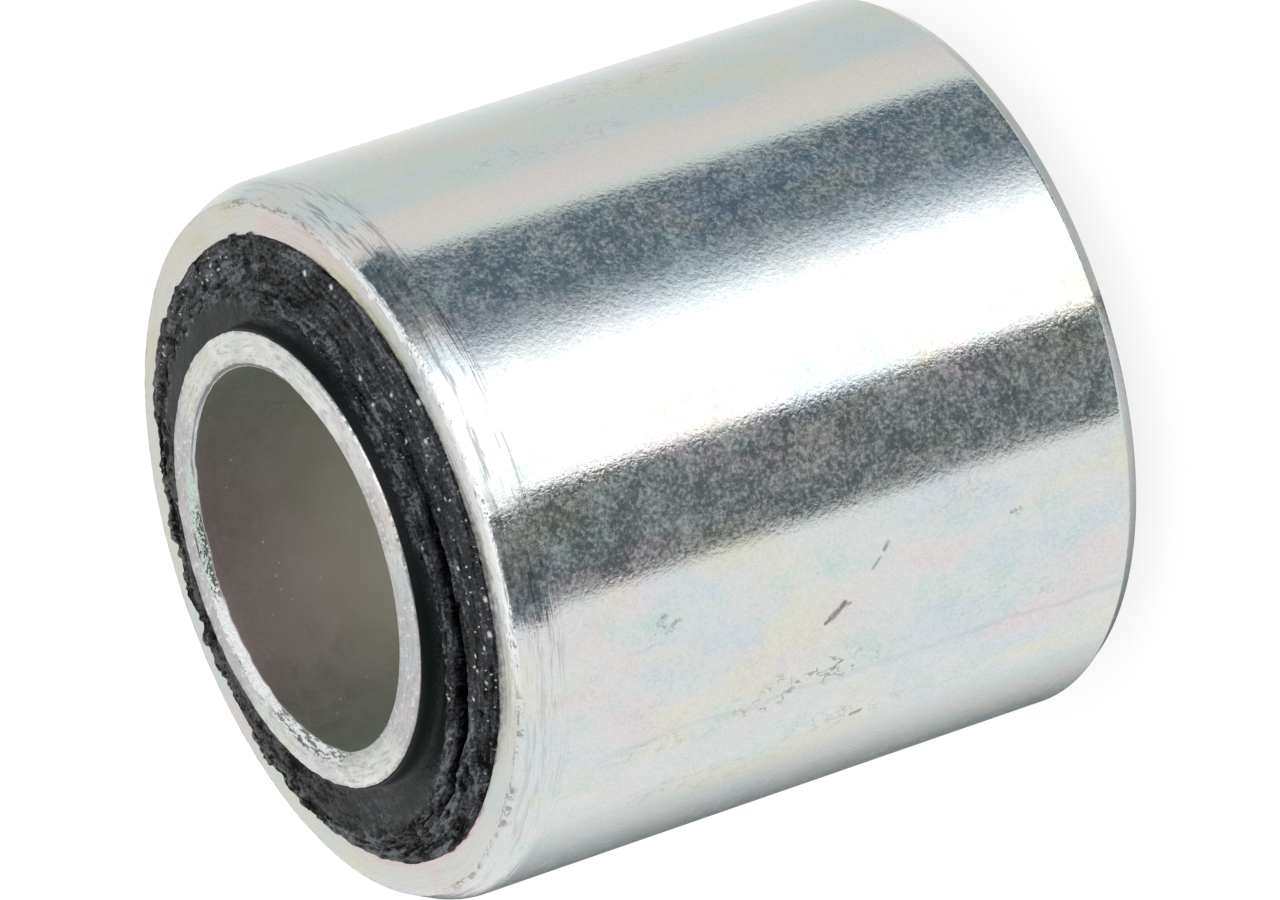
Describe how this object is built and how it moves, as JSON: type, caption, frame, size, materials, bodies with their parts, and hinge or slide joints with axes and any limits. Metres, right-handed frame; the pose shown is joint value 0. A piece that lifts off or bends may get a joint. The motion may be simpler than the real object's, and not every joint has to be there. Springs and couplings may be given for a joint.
{
  "type": "rubber metal bush",
  "caption": "Cylindrical vibration bush: a rubber ring bonded between a plain outer steel sleeve and a longer inner steel sleeve with a through bore.",
  "frame": {"origin": "centre of the inner sleeve's lower end, on the bore's axis", "axes": "+Z along the bore towards the end with the long lead-in chamfer and the fold in the rubber; the fold is deepest 248 degrees round from +X, counted towards +Y"},
  "size_m": [0.03, 0.03, 0.032],
  "materials": {
    "outer_plated_steel": "bright zinc plate, fine grain, faint iridescence",
    "black_rubber": "matt moulded, rough end faces",
    "inner_plated_steel": "zinc plate over a turned end face, dull bore"
  },
  "bodies": {
    "root": {"outer_sleeve": "outer_plated_steel", "rubber_insert": "black_rubber", "inner_sleeve": "inner_plated_steel"}
  },
  "joints": []
}
